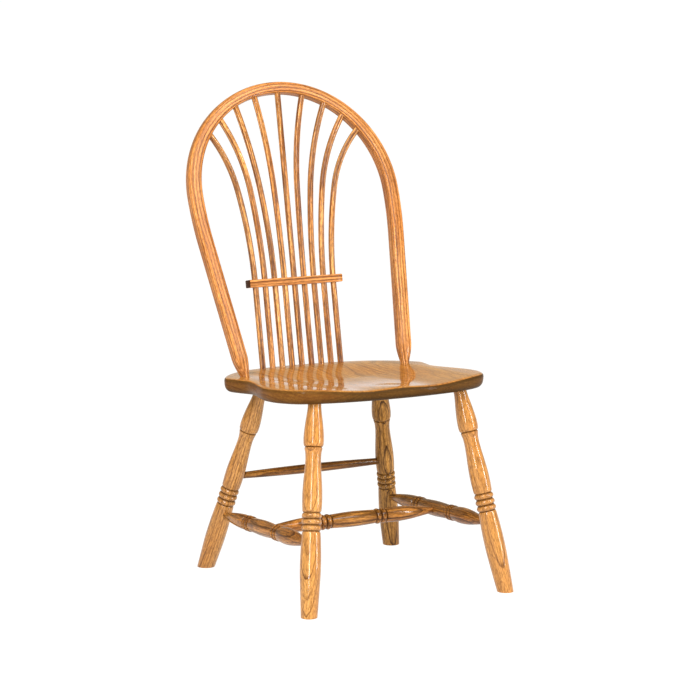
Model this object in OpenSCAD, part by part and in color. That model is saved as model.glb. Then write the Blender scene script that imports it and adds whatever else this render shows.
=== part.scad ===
// Sheaf back side chair in oak: a saddled seat glued up from boards, a bent bow,
// nine spindles gathered by a bar and fanned out above it, four turned and splayed
// legs, and an H of three turned stretchers with a plain one between the rear legs.
// Millimetres, +Z up. The front of the chair faces -Y and the floor is z = 0.
// Left and right are as seen from the front: left is -X.

/* [Seat] */
// Height of the seat's rim above the floor at the feet of the bow
seat_h = 445; // [430:1:460]
// Width of the seat across its widest part
seat_w = 512; // [500:1:528]
// Depth of the seat from its front edge to its rear edge
seat_d = 490; // [484:1:502]
// Thickness of the seat
seat_t = 31.5; // [30:0.5:39]
// Rise of the seat toward the front, in millimetres per metre of depth
seat_rise = 62; // [30:1:65]
// Depth of the hollow carved in the top
hollow_depth = 13; // [0:0.5:13]
// Height of the low ridge left between the thighs at the front
ridge_h = 3; // [0:0.5:5]

/* [Bow] */
// Radius of the bow's centre line round the top
bow_r = 244; // [236:0.1:250]
// Height of the round top's centre above the seat, measured along the bow
bow_centre = 408; // [390:1:430]
// Angle by which the bow leans back
bow_lean = 21.9; // [18:0.1:24]
// Angle by which the lower part of each side leans inward
bow_taper = 7.25; // [5:0.05:8]
// Distance from the seat's front edge to the feet of the bow
bow_setback = 349; // [346:1:362]
// Width of the bow's section at the sides
bow_w = 32; // [28:0.5:34]
// Width of the bow's section at the top
bow_top_w = 26; // [25:0.5:31]
// Depth of the bow's section from front to back
bow_d = 26.5; // [24:0.5:30]
// Diameter of the bow's round feet
bow_foot_d = 20; // [17:0.5:22]

/* [Sheaf] */
// Diameter of a spindle
spindle_d = 13.4; // [10:0.1:14]
// Spacing of the spindles below the bar
spindle_pitch = 24.5; // [20:0.1:26]
// Distance from the rear edge of the seat to the spindles
spindle_margin = 25; // [20:1:28]
// Angle on the bow's round top between the middle and the outermost spindle
fan_angle = 53.3; // [46:0.1:56]
// Height of the bar above the seat, measured along the spindles
bar_rise = 190; // [160:1:220]
// Length of the bar
bar_len = 233; // [224:1:250]
// Height of the bar
bar_h = 17.5; // [14:0.5:22]
// Depth of the bar from front to back
bar_d = 24; // [20:0.5:28]

/* [Legs] */
// Distance between the front feet, centre to centre
front_span = 476; // [460:1:490]
// Distance between the rear feet, centre to centre
rear_span = 473; // [456:1:484]
// Distance from the front feet to the rear feet, centre to centre
foot_depth = 503; // [490:1:510]
// Inward lean of the front legs, in millimetres per metre of height
front_lean_x = 145; // [130:1:156]
// Backward lean of the front legs, in millimetres per metre of height
front_lean_y = 222; // [202:1:222]
// Inward lean of the rear legs, in millimetres per metre of height
rear_lean_x = 219; // [195:1:225]
// Forward lean of the rear legs, in millimetres per metre of height
rear_lean_y = 243; // [240:1:266]
// Length by which the foot of a rear leg is cut shorter
rear_cut = 24; // [14:1:34]
// Diameter of the thickest part of a leg
leg_d = 44; // [42:0.5:48]
// Diameter of a leg where it enters the seat
leg_top_d = 28.5; // [27:0.5:31]
// Depth of the socket of a leg in the seat
leg_socket = 21; // [16:0.5:22]

/* [Stretchers] */
// Height of the side stretchers along the front legs
side_front_rise = 152; // [135:1:155]
// Height of the side stretchers along the rear legs
side_rear_rise = 128; // [115:1:137]
// Height of the rear stretcher along the rear legs
rear_rise = 221; // [208:1:228]
// Diameter of the thickest part of the side stretchers
side_d = 36; // [29:0.5:37]
// Diameter of the thickest part of the middle stretcher
mid_d = 34; // [30:0.5:35]
// Diameter of the middle of the rear stretcher
rear_d = 20.5; // [17:0.5:23]
// Diameter of the ends of all stretchers
end_d = 15; // [13:0.5:16]
// Place of the middle stretcher along the side stretchers, from the rear
mid_place = 0.51; // [0.46:0.01:0.54]

/* [Joints] */
// Gap all round between a round tenon and its socket
joint_gap = 0.1; // [0.05:0.01:0.15]

/* [Hidden] */
$fn = 64;

// Colours of the lacquered oak
oak_top = [0.80, 0.58, 0.36];
oak_bow = [0.80, 0.53, 0.29];
oak_leg = [0.88, 0.65, 0.36];
oak_shade = [0.58, 0.38, 0.18];

// Layout in depth, with y = 0 halfway between the front and the rear feet
front_foot_y = -foot_depth / 2;
rear_foot_y = foot_depth / 2;
// Depth at which the middle of the seat stands over the legs
seat_centre_y = 22;
seat_front_y = seat_centre_y - seat_d / 2;
seat_rear_y = seat_front_y + seat_d;
bow_y = seat_front_y + bow_setback;
slope = seat_rise / 1000;

// Height of the rim and of the underside of the seat at a depth y
function rim_z(y) = seat_h - slope * (y - bow_y);
function under_z(y) = rim_z(y) - seat_t;

// Outline of one half of the seat: share of the half width, share of the depth
// from the rear edge, from the middle of the back to the middle of the front
seat_half = [[0, 0], [0.31, 0.014], [0.59, 0.055], [0.807, 0.144], [0.947, 0.26],
    [0.943, 0.33], [0.899, 0.43], [0.923, 0.52], [0.968, 0.61], [1, 0.703],
    [0.976, 0.80], [0.864, 0.895], [0.608, 0.958], [0.311, 0.99], [0, 1]];
half_n = len(seat_half);
seat_loop = concat(
    [for (p = seat_half) [p[0] * seat_w / 2, seat_rear_y - p[1] * seat_d]],
    [for (i = [half_n - 2:-1:1])
        [-seat_half[i][0] * seat_w / 2, seat_rear_y - seat_half[i][1] * seat_d]]);
outline_steps = 2;

// Smooth curve through the points around it, for a parameter t from 0 to 1
function spline(a, b, c, d, t) = 0.5 * (2 * b + (c - a) * t
    + (2 * a - 5 * b + 4 * c - d) * t * t + (3 * b - a - 3 * c + d) * t * t * t);
function closed_curve(pts, steps) = let (n = len(pts))
    [for (i = [0:n - 1], k = [0:steps - 1])
        spline(pts[(i + n - 1) % n], pts[i], pts[(i + 1) % n], pts[(i + 2) % n], k / steps)];
function open_curve(pts, steps) = let (n = len(pts))
    concat([for (i = [0:n - 2], k = [0:steps - 1])
        spline(pts[max(i - 1, 0)], pts[i], pts[i + 1], pts[min(i + 2, n - 1)], k / steps)],
        [pts[n - 1]]);
function ease(v, lo, hi) = let (t = max(0, min(1, (v - lo) / (hi - lo)))) t * t * (3 - 2 * t);
function unit(v) = v / norm(v);

outline = closed_curve(seat_loop, outline_steps);
outline_n = len(outline);
seat_mid = [0, seat_rear_y - 0.48 * seat_d];

// The hollow: full over the middle, shallower at the front edge, gone under the bow,
// the spindles and the arms of the rim, with a low ridge between the thighs. A flat
// land is kept between the spindles and its start
spindle_land = 22;
flat_behind = spindle_margin + spindle_land;
hollow_ahead = 230;
hollow_full = 175;
rim_half = 0.81 * seat_w / 2;
thigh_half = 0.46 * seat_w / 2;
front_share = 0.62;
ridge_half = 38;
ridge_len = 150;
function hollow(x, y) = let (
        across = 1 - ease(abs(x), thigh_half * 0.6, rim_half),
        behind = ease(seat_rear_y - y, flat_behind, flat_behind + hollow_full),
        ahead = 1 - (1 - front_share) * ease(seat_front_y + hollow_ahead - y, 0, hollow_ahead),
        ridge = ridge_h * (1 - ease(abs(x), 0, ridge_half * 2))
            * ease(seat_front_y + ridge_len - y, 0, ridge_len))
    hollow_depth * across * behind * ahead - ridge;
function top_z(x, y) = rim_z(y) - hollow(x, y);

// Rings of the seat's skin: share of the way out, inset from the edge, drop below the
// top and rise above the underside; a share under 1 marks the flat parts
top_shares = [0.18, 0.36, 0.53, 0.69, 0.83];
edge_drops = [[10, 0], [5.5, 0.4], [2.3, 1.7], [0.6, 4.2], [0, 8]];
edge_rises = [[1, 13.5], [4, 6.5], [9, 2], [16, 0]];
function inset(p, d) = let (v = p - seat_mid) seat_mid + v * (1 - d / norm(v));
seat_rings = concat(
    [for (s = top_shares) [for (p = outline)
        let (q = seat_mid + (inset(p, edge_drops[0][0]) - seat_mid) * s) [q[0], q[1], top_z(q[0], q[1])]]],
    [for (e = edge_drops) [for (p = outline)
        let (q = inset(p, e[0]), r = inset(p, edge_drops[0][0])) [q[0], q[1], top_z(r[0], r[1]) - e[1]]]],
    [for (e = edge_rises) [for (p = outline)
        let (q = inset(p, e[0])) [q[0], q[1], under_z(q[1]) + e[1]]]]);
ring_count = len(seat_rings);
seat_points = concat([for (r = seat_rings) each r],
    [[seat_mid[0], seat_mid[1], top_z(seat_mid[0], seat_mid[1])],
     [seat_mid[0], seat_mid[1], under_z(seat_mid[1])]]);
top_hub = ring_count * outline_n;
under_hub = top_hub + 1;
function ring_at(r, i) = r * outline_n + i % outline_n;
seat_faces = concat(
    [for (i = [0:outline_n - 1]) [top_hub, ring_at(0, i), ring_at(0, i + 1)]],
    [for (r = [0:ring_count - 2], i = [0:outline_n - 1])
        [ring_at(r, i), ring_at(r + 1, i), ring_at(r, i + 1)]],
    [for (r = [0:ring_count - 2], i = [0:outline_n - 1])
        [ring_at(r, i + 1), ring_at(r + 1, i), ring_at(r + 1, i + 1)]],
    [for (i = [0:outline_n - 1])
        [under_hub, ring_at(ring_count - 1, i + 1), ring_at(ring_count - 1, i)]]);

// Glue lines between the boards of the seat, in spindle spacings from the middle line
glue_lines = [-7.25, -3.5, 0.5, 4.5, 7.25];

// Axes of the legs: foot on the floor and direction up to the seat
function leg_foot(front, side) = front
    ? [side * front_span / 2, front_foot_y, 0]
    : [side * rear_span / 2, rear_foot_y, 0];
function leg_dir(front, side) = unit(front
    ? [-side * front_lean_x / 1000, front_lean_y / 1000, 1]
    : [-side * rear_lean_x / 1000, -rear_lean_y / 1000, 1]);
function leg_at(front, side, s) = leg_foot(front, side) + leg_dir(front, side) * s;
// Distance along a leg from the floor to the underside of the seat
function leg_reach(front, side) = let (f = leg_foot(front, side), d = leg_dir(front, side))
    (under_z(f[1]) - f[2]) / (d[2] + slope * d[1]);

// Turned profile of a leg: distance from the front foot and share of the full radius
leg_lower = [[-16, 0.745], [12, 0.825], [42, 0.90], [66, 0.952], [92, 1], [120, 1], [145, 0.965],
    [169, 0.907], [176, 0.87]];
bead_start = 178.2;
bead_pitch = 13;
bead_r = 0.96;
groove_r = 0.78;
leg_middle = [[219, 0.87], [223, 0.915], [241, 0.951], [261, 0.947], [285, 0.88],
    [308, 0.794], [328, 0.748], [341, 0.775], [348, 0.835], [351.5, 0.865]];
collar_groove = [353.8, 0.775];
leg_upper = [[355.5, 0.90], [359.5, 0.956], [369.5, 0.98], [382.5, 0.955], [397.5, 0.885],
    [412.5, 0.795], [426.5, 0.70]];
stem_start = 438;
bead_steps = 5;
bead_fullness = 0.85;
// One bead: a rounded swelling between two grooves
function bead(s0, pitch, lo, hi) = [for (k = [0:bead_steps - 1])
    [s0 + pitch * k / bead_steps, lo + (hi - lo) * pow(sin(180 * k / bead_steps), bead_fullness)]];
function leg_profile(reach, cut) = let (
        r = leg_d / 2,
        stem = [[stem_start, leg_top_d / leg_d], [reach + cut - 3, leg_top_d / leg_d]],
        line = concat(leg_lower,
            bead(bead_start, bead_pitch, groove_r, bead_r),
            bead(bead_start + bead_pitch, bead_pitch, groove_r, bead_r),
            bead(bead_start + 2 * bead_pitch, bead_pitch, groove_r, bead_r),
            [[bead_start + 3 * bead_pitch, groove_r]],
            open_curve(leg_middle, 2), [collar_groove], open_curve(leg_upper, 2)))
    concat([[0, leg_lower[0][0]]], [for (p = line) [p[1] * r, p[0]]],
        [for (p = stem) [p[1] * r, p[0]]],
        [[leg_top_d / 2, reach + cut + leg_socket], [0, reach + cut + leg_socket]]);

// Ends of the stretchers' axes, on the axes of the pieces that hold them
function side_from(side) = leg_at(false, side, side_rear_rise);
function side_to(side) = leg_at(true, side, side_front_rise);
function mid_end(side) = side_from(side) + (side_to(side) - side_from(side)) * mid_place;
tenon_stop = 3;
tenon_reach = leg_d / 2 + 2;
mid_reach = side_d / 2 + 2;

// Turned profiles of the stretchers: share of the length, share of the full radius
side_beads = [0.333, 0.65];
mid_beads = [0.333, 0.651];
stretcher_groove_r = 0.77;

// Path of the bow's centre line in its own plane: x across, y up along the lean
bow_straight = 300;
side_r = (bow_centre - bow_straight) / sin(bow_taper);
bow_max_x = bow_r;
arc_low_x = bow_max_x - side_r * (1 - cos(bow_taper));
bow_foot_x = arc_low_x - bow_straight * tan(bow_taper);
straight_len = bow_straight / cos(bow_taper);
side_len = side_r * bow_taper * PI / 180;
top_len = PI * bow_r;
bow_len = 2 * (straight_len + side_len) + top_len;
// Point and direction at a distance s from the right foot, then on to the left foot
function bow_half(s) = s < straight_len
    ? [bow_foot_x + s * sin(bow_taper), s * cos(bow_taper), 90 - bow_taper]
    : s < straight_len + side_len
    ? let (a = bow_taper * (1 - (s - straight_len) / side_len))
        [bow_max_x - side_r * (1 - cos(a)), bow_centre - side_r * sin(a), 90 - a]
    : let (a = (s - straight_len - side_len) / bow_r * 180 / PI)
        [bow_r * cos(a), bow_centre + bow_r * sin(a), 90 + a];
function bow_at(s) = s <= bow_len / 2 ? bow_half(s)
    : let (m = bow_half(bow_len - s)) [-m[0], m[1], 360 - m[2]];
function bow_plane(u, w) = [u, bow_y + w * sin(bow_lean), rim_z(bow_y) + w * cos(bow_lean)];
bow_out = [0, cos(bow_lean), -sin(bow_lean)];
bow_socket = 24;
foot_len = 46;
foot_start = 2;
// Squareness of the bow's section: 0 is an ellipse, 1 a rectangle
bow_square = 0.58;
bow_sides = 18;
// Half width, half depth and squareness of the bow's section at a distance s
function bow_section(s) = let (
        e = min(s, bow_len - s),
        g = sin(90 * max(0, min(1, (e - foot_start) / (foot_len - foot_start)))),
        t = ease(e, straight_len + side_len, bow_len / 2),
        w = bow_w + (bow_top_w - bow_w) * t)
    [(bow_foot_d + (w - bow_foot_d) * g) / 2, (bow_foot_d + (bow_d - bow_foot_d) * g) / 2,
        1 - bow_square * g];
function power(v, p) = sign(v) * pow(abs(v), p);
function bow_ring(s) = let (
        q = bow_at(s), m = bow_section(s), side = [sin(q[2]), -cos(q[2])],
        c = bow_plane(q[0], q[1]))
    [for (k = [0:bow_sides - 1]) let (
            a = 360 * (k + 0.5) / bow_sides,
            off = m[0] * power(cos(a), m[2]), out = m[1] * power(sin(a), m[2]))
        c + off * [side[0], side[1] * sin(bow_lean), side[1] * cos(bow_lean)] + out * bow_out];
top_steps = 30;
foot_stations = [-bow_socket, 3, 11, 20, 29, 38, foot_len, 130, 215];
side_stations = [for (k = [0:3]) straight_len + side_len * k / 4];
bow_rise = concat(foot_stations, side_stations,
    [for (k = [0:top_steps / 2 - 1]) straight_len + side_len + top_len * k / top_steps]);
bow_stations = concat(bow_rise, [bow_len / 2],
    [for (i = [len(bow_rise) - 1:-1:0]) bow_len - bow_rise[i]]);
bow_rings = [for (s = bow_stations) bow_ring(s)];

// Skin round a row of rings that all have the same number of points
function tube_faces(n, m) = concat(
    [[for (k = [0:m - 1]) k]],
    [for (i = [0:n - 2], k = [0:m - 1]) let (a = i * m + k, b = i * m + (k + 1) % m)
        [a, a + m, b]],
    [for (i = [0:n - 2], k = [0:m - 1]) let (a = i * m + k, b = i * m + (k + 1) % m)
        [b, a + m, b + m]],
    [[for (k = [m - 1:-1:0]) (n - 1) * m + k]]);

// Spindles: feet in a row on the rim, heads on the inner face of the bow's round top
spindle_y = seat_rear_y - spindle_margin;
head_gap = 9;
head_in = 12;
// Straight stretch of a spindle kept free under and over the bar
bar_margin = 1;
bend_start = bar_rise - bar_h / 2 - bar_margin;
knee_height = 398;
inner_r = bow_r - bow_top_w / 2;
function spindle_foot(k) = [k * spindle_pitch, spindle_y, rim_z(spindle_y)];
function head_angle(k) = let (t = abs(k) / 4) sign(k) * fan_angle * (1.16 * t - 0.16 * t * t);
function head_point(k) = bow_plane((inner_r - head_gap) * sin(head_angle(k)),
    bow_centre + (inner_r - head_gap) * cos(head_angle(k)));
rise_dir = unit(head_point(0) - spindle_foot(0));
// Share of each spindle's spread that it has reached at the knee, from left to right
knee_shares = [0.31, 0.229, 0.277, 0.18, 0.19, 0.11, 0.21, 0.232, 0.277];
function knee_share(k) = knee_shares[k + 4];
// Frame of one spindle: start of the bend, sideways direction, knee and head in 2D
function spindle_plan(k) = let (
        b = spindle_foot(k) + rise_dir * bend_start,
        v = head_point(k) - b,
        up = v * rise_dir,
        o = v - up * rise_dir,
        kx = knee_share(k) * norm(o), ky = knee_height - bend_start,
        a1 = 2 * atan(kx / ky), r1 = (kx * kx + ky * ky) / (2 * kx),
        ex = norm(o) - kx, ey = up - ky,
        par = ex * sin(a1) + ey * cos(a1), perp = ex * cos(a1) - ey * sin(a1),
        a2 = 2 * atan(perp / par), r2 = (par * par + perp * perp) / (2 * perp))
    [b, unit(o), r1, a1, r2, a2, [kx, ky], [norm(o), up]];
arc1_steps = 5;
arc2_steps = 6;
// Angle of the first bend where the spindle leaves the bar: it runs straight through it
function bar_turn(p) = asin((bar_h + 2 * bar_margin) / p[2]);
// Rows of [sideways, up, angle] along one bent spindle, from tenon end to tenon end
function spindle_line(k) = let (
        p = spindle_plan(k), kx = p[6][0], ky = p[6][1], a = p[3] + p[5], b = bar_turn(p))
    concat([[0, -bend_start - spindle_socket, 0], [0, 0, 0]],
        [for (i = [0:arc1_steps]) let (t = b + (p[3] - b) * i / arc1_steps)
            [p[2] * (1 - cos(t)), p[2] * sin(t), t]],
        [for (i = [1:arc2_steps]) let (t = p[3] + p[5] * i / arc2_steps)
            [kx + p[4] * (cos(p[3]) - cos(t)), ky + p[4] * (sin(t) - sin(p[3])), t]],
        [[p[7][0] + (head_gap + head_in) * sin(a), p[7][1] + (head_gap + head_in) * cos(a), a]]);
spindle_socket = 16;
spindle_sides = 14;
function spindle_rings(k) = let (p = spindle_plan(k), n = cross(rise_dir, p[1]))
    [for (q = spindle_line(k)) let (
            c = p[0] + q[0] * p[1] + q[1] * rise_dir,
            e = cos(q[2]) * p[1] - sin(q[2]) * rise_dir)
        [for (i = [0:spindle_sides - 1]) let (a = 360 * i / spindle_sides)
            c + spindle_d / 2 * (cos(a) * e + sin(a) * n)]];
function head_dir(k) = k == 0 ? rise_dir : let (p = spindle_plan(k), a = p[3] + p[5])
    sin(a) * p[1] + cos(a) * rise_dir;
// Point under the bar and direction of the straight stretch that runs through it
function bar_point(k) = spindle_foot(k) + rise_dir * bend_start;
function bar_dir(k) = k == 0 ? rise_dir : let (p = spindle_plan(k), t = bar_turn(p) / 2)
    sin(t) * p[1] + cos(t) * rise_dir;

// Shift that centres the finished chair on the origin from front to back
bow_ys = [for (r = bow_rings, p = r) p[1]];
// Depth of a front foot's edge on the floor, at an angle round the leg
foot_flare = (leg_lower[1][1] - leg_lower[0][1]) / (leg_lower[1][0] - leg_lower[0][0]);
foot_share = leg_lower[0][1] - leg_lower[0][0] * foot_flare;
function foot_edge_y(a) = let (
        d = leg_dir(true, 1),
        e = unit(cross(d, [1, 0, 0])),
        n = sin(a) * e + cos(a) * cross(e, d),
        s = -foot_share * leg_d / 2 * n[2] / (d[2] + foot_flare * leg_d / 2 * n[2]),
        r = (foot_share + foot_flare * s) * leg_d / 2)
    front_foot_y + s * d[1] + r * n[1];
front_y = min(seat_front_y, min([for (a = [0:5:355]) foot_edge_y(a)]));
y_shift = -(front_y + max(bow_ys)) / 2;

// Places its children with their z axis along d, starting at p
module along(p, d) {
    translate(p)
        rotate([0, acos(d[2]), atan2(d[1], d[0])])
            children();
}

// Round hole for a tenon of the given diameter, from p along d
module socket(p, d, dia, len) {
    along(p, d)
        cylinder(h = len, d = dia + 2 * joint_gap);
}

module centred() {
    translate([0, y_shift, 0])
        children();
}

module seat_blank() {
    polyhedron(points = seat_points, faces = seat_faces, convexity = 6);
}

// Length by which a hole runs on past the face that it opens in
drill_over = 36;

module seat_sockets() {
    for (side = [-1, 1]) {
        for (front = [true, false])
            socket(leg_at(front, side, leg_reach(front, side) - drill_over),
                leg_dir(front, side), leg_top_d, leg_socket + drill_over);
        bow_hole(side);
    }
    for (k = [-4:4])
        socket(spindle_foot(k) - rise_dir * spindle_socket, rise_dir, spindle_d,
            spindle_socket + drill_over);
}

module bow_hole(side) {
    d = unit([side * tan(bow_taper), sin(bow_lean), cos(bow_lean)]);
    p = bow_plane(side * bow_foot_x, 0);
    socket(p - d * bow_socket, d, bow_foot_d, bow_socket + drill_over);
}

// Board i of the seat, counted from the left
module seat_stave(i) {
    lines = concat([-seat_w], glue_lines * spindle_pitch, [seat_w]);
    color(oak_top) centred() difference() {
        intersection() {
            seat_blank();
            translate([lines[i - 1], -seat_d, 0])
                cube([lines[i] - lines[i - 1], 2 * seat_d, 2 * seat_h]);
        }
        seat_sockets();
    }
}

module bow() {
    color(oak_bow) centred() difference() {
        polyhedron(points = [for (r = bow_rings) each r],
            faces = tube_faces(len(bow_rings), bow_sides), convexity = 6);
        for (k = [-4:4])
            socket(head_point(k) - head_dir(k) * head_gap, head_dir(k), spindle_d,
                2 * head_gap + head_in);
    }
}

// Spindle k, counted from the middle one, which is straight
module spindle(k) {
    color(oak_bow) centred() {
        if (k == 0)
            along(spindle_foot(0) - rise_dir * spindle_socket, rise_dir)
                cylinder(h = norm(head_point(0) - spindle_foot(0)) + spindle_socket
                    + head_gap + head_in, d = spindle_d);
        else
            polyhedron(points = [for (r = spindle_rings(k)) each r],
                faces = tube_faces(len(spindle_rings(k)), spindle_sides), convexity = 4);
    }
}

// The bar lies square to the spindles, with its edges taken off
bar_edge = 1.5;
module sheaf_bar() {
    a = bar_d / 2;
    b = bar_h / 2;
    c = bar_edge;
    lean = acos(rise_dir[2]);
    color(oak_bow) centred() difference() {
        translate(spindle_foot(0) + rise_dir * bar_rise)
            rotate([-lean, 0, 0])
                rotate([90, 0, 90])
                    translate([0, 0, -bar_len / 2])
                        linear_extrude(height = bar_len)
                            polygon([[-a + c, -b], [a - c, -b], [a, -b + c], [a, b - c],
                                [a - c, b], [-a + c, b], [-a, b - c], [-a, -b + c]]);
        for (k = [-4:4])
            socket(bar_point(k) - bar_dir(k) * bar_h, bar_dir(k), spindle_d, 3 * bar_h);
    }
}

// Turn of a leg about its own axis, which sets where its turned faces start
leg_turn = 37;
// Height of the block that cuts the feet level
floor_cut = 60;
module leg(front, side) {
    cut = front ? 0 : rear_cut;
    color(oak_leg) centred() difference() {
        along(leg_foot(front, side), leg_dir(front, side))
            translate([0, 0, -cut])
                rotate([0, 0, leg_turn])
                    rotate_extrude()
                        polygon(leg_profile(leg_reach(front, side), cut));
        translate([-seat_w, -seat_d, -floor_cut])
            cube([2 * seat_w, 2 * seat_d, floor_cut]);
        side_hole(front, side);
        if (!front)
            rear_hole(side);
    }
}

// Sockets of the stretchers in the legs and in the side stretchers
module side_hole(front, side) {
    a = front ? side_to(side) : side_from(side);
    b = front ? side_from(side) : side_to(side);
    d = unit(b - a);
    socket(a + d * tenon_stop, d, end_d, leg_d);
}

module rear_hole(side) {
    a = leg_at(false, side, rear_rise);
    socket(a + [-side * tenon_stop, 0, 0], [-side, 0, 0], end_d, leg_d);
}

module mid_hole(side) {
    socket(mid_end(side) + [-side * tenon_stop, 0, 0], [-side, 0, 0], end_d, side_d);
}

// A turned bar from a to b: straight tenons, then the profile between the reaches
module turned(a, b, dia, reach_a, reach_b, line) {
    len = norm(b - a);
    r = dia / 2;
    along(a, unit(b - a))
        rotate_extrude()
            polygon(concat([[0, tenon_stop], [end_d / 2, tenon_stop], [end_d / 2, reach_a]],
                [for (p = line) [p[1] * r, p[0] * len]],
                [[end_d / 2, len - reach_b], [end_d / 2, len - tenon_stop], [0, len - tenon_stop]]));
}

// Profile with two pairs of beads and three swellings between the straight ends. The
// shares are of the full radius: the beads' crests, the middle swelling, the last one
function beaded_line(len, dia, reach, places, crest, body, bulb) = let (
        e = end_d / dia,
        w = bead_pitch / len,
        p = places[0], q = places[1],
        a = reach / len + 0.01, b = 1 - a)
    concat(
        open_curve([[a, e + 0.02], [a + (p - w - a) * 0.42, 0.78 * body],
            [a + (p - w - a) * 0.78, 0.94 * body], [p - w - 0.004, 0.93 * body]], 3),
        bead(p - w, w, stretcher_groove_r, crest),
        bead(p, w, stretcher_groove_r, crest),
        [[p + w, stretcher_groove_r]],
        open_curve([[p + w + 0.004, 0.89 * body], [p + w + 0.07, 0.965 * body], [(p + q) / 2, body],
            [q - w - 0.07, 0.965 * body], [q - w - 0.004, 0.89 * body]], 3),
        bead(q - w, w, stretcher_groove_r, crest),
        bead(q, w, stretcher_groove_r, crest),
        [[q + w, stretcher_groove_r]],
        open_curve([[q + w + 0.004, 0.93 * body], [b - (b - q - w) * 0.72, bulb],
            [b - (b - q - w) * 0.42, 0.87 * bulb], [b, e + 0.02]], 3));

module side_stretcher(side) {
    a = side_from(side);
    b = side_to(side);
    color(oak_shade) centred() difference() {
        turned(a, b, side_d, tenon_reach, tenon_reach,
            beaded_line(norm(b - a), side_d, tenon_reach, side_beads, 0.97, 0.96, 1));
        mid_hole(side);
    }
}

module centre_stretcher() {
    a = mid_end(-1);
    b = mid_end(1);
    color(oak_shade) centred()
        turned(a, b, mid_d, mid_reach, mid_reach,
            beaded_line(norm(b - a), mid_d, mid_reach, mid_beads, 1, 1, 0.97));
}

module rear_stretcher() {
    a = leg_at(false, -1, rear_rise);
    b = leg_at(false, 1, rear_rise);
    len = norm(b - a);
    e = end_d / rear_d;
    t = tenon_reach / len;
    color(oak_shade) centred()
        turned(a, b, rear_d, tenon_reach, tenon_reach,
            open_curve([[t + 0.01, e], [0.25, e + (1 - e) * 0.62], [0.5, 1],
                [0.75, e + (1 - e) * 0.62], [1 - t - 0.01, e]], 4));
}

seat_stave(1);  // seat_stave_1
seat_stave(2);  // seat_stave_2
seat_stave(3);  // seat_stave_3
seat_stave(4);  // seat_stave_4
seat_stave(5);  // seat_stave_5
seat_stave(6);  // seat_stave_6
bow();
spindle(-4);  // spindle_1
spindle(-3);  // spindle_2
spindle(-2);  // spindle_3
spindle(-1);  // spindle_4
spindle(0);  // spindle_5
spindle(1);  // spindle_6
spindle(2);  // spindle_7
spindle(3);  // spindle_8
spindle(4);  // spindle_9
sheaf_bar();
leg(true, -1);  // leg_front_left
leg(true, 1);  // leg_front_right
leg(false, -1);  // leg_rear_left
leg(false, 1);  // leg_rear_right
side_stretcher(-1);  // side_stretcher_left
side_stretcher(1);  // side_stretcher_right
centre_stretcher();
rear_stretcher();
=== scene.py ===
"""Looks of the sheaf back side chair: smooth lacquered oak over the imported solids.

Every piece is rebuilt as a finer skin of the same size and place, in millimetres in the
chair's own frame: the floor is z = 0, the front of the chair faces -Y and the left side,
as seen from the front, is -X.
"""
import logging
import math
from collections.abc import Sequence
from dataclasses import dataclass, field
from enum import Enum

import bmesh
import bpy
import numpy as np
from mathutils import Matrix, Vector

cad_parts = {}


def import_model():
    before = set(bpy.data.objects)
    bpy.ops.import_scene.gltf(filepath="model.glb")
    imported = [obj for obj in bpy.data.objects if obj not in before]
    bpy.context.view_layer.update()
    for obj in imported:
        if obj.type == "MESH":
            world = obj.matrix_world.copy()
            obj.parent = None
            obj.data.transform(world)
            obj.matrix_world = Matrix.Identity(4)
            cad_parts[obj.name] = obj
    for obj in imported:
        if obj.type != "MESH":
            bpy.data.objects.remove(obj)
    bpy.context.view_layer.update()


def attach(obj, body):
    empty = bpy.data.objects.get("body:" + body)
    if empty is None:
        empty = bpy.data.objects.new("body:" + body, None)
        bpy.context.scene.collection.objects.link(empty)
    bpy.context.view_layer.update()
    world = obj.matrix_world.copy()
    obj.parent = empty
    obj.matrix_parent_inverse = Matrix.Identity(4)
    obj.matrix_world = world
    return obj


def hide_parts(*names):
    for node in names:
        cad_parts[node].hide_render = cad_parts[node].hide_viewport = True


log = logging.getLogger("chair")
MM = 0.001
BODY = "root"
WELD = 1e-7
BEAD_STEPS = 14
BEAD_ROUNDNESS = 0.85
# Grooves between beads are darkened partly by staining that gathers there, partly as painted shade in the
# hollows.
BEAD_STAIN_AND_SHADE = 0.84
BEAD_STAIN_AND_SHADE_START = 1.12
BEAD_STAIN_AND_SHADE_FALL = 1.3
GROOVE_STAIN_AND_SHADE = 0.8
BENT_SHARP = 50.0
Array = np.ndarray
Socket = bpy.types.NodeSocket
Pair = tuple[float, float]
Pairs = tuple[Pair, ...]
Place = tuple[float, float, float]
Colour = tuple[float, float, float]
Cut = tuple[Place, Place]


class Side(Enum):
    """The chair's two sides as seen from the front."""

    LEFT = -1
    RIGHT = 1


class Row(Enum):
    """The two rows of legs."""

    FRONT = -1
    REAR = 1


def ease(value: Array | float, low: float, high: float) -> Array | float:
    """Returns a share that rises smoothly from 0 at the low value to 1 at the high one."""
    t = np.clip((value - low) / (high - low), 0.0, 1.0)
    return t * t * (3 - 2 * t)


def unit(vector: Array) -> Array:
    """Returns the vector at length 1."""
    return vector / np.linalg.norm(vector)


def curve_point(a: Array, b: Array, c: Array, d: Array, t: float) -> Array:
    """Returns the point a share t of the way from b to c, on a smooth curve through a, b, c and d."""
    return 0.5 * (2 * b + (c - a) * t + (2 * a - 5 * b + 4 * c - d) * t * t
                  + (3 * b - a - 3 * c + d) * t ** 3)


def smooth_curve(points: Sequence[tuple[float, ...]], steps: int, closed: bool = False) -> Array:
    """Smooth curve through points.

    Args:
        points: Points that the curve runs through.
        steps: Pieces that each stretch is cut into.
        closed: Whether the curve runs on to its first point.

    Returns:
        One row for each point of the curve.
    """
    p = np.array(points, float)
    ends = "wrap" if closed else "clip"
    rows = [curve_point(*np.take(p, range(i - 1, i + 3), axis=0, mode=ends), k / steps)
            for i in range(len(p) - 1 + closed) for k in range(steps)]
    return np.array(rows if closed else rows + [p[-1]])


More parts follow.
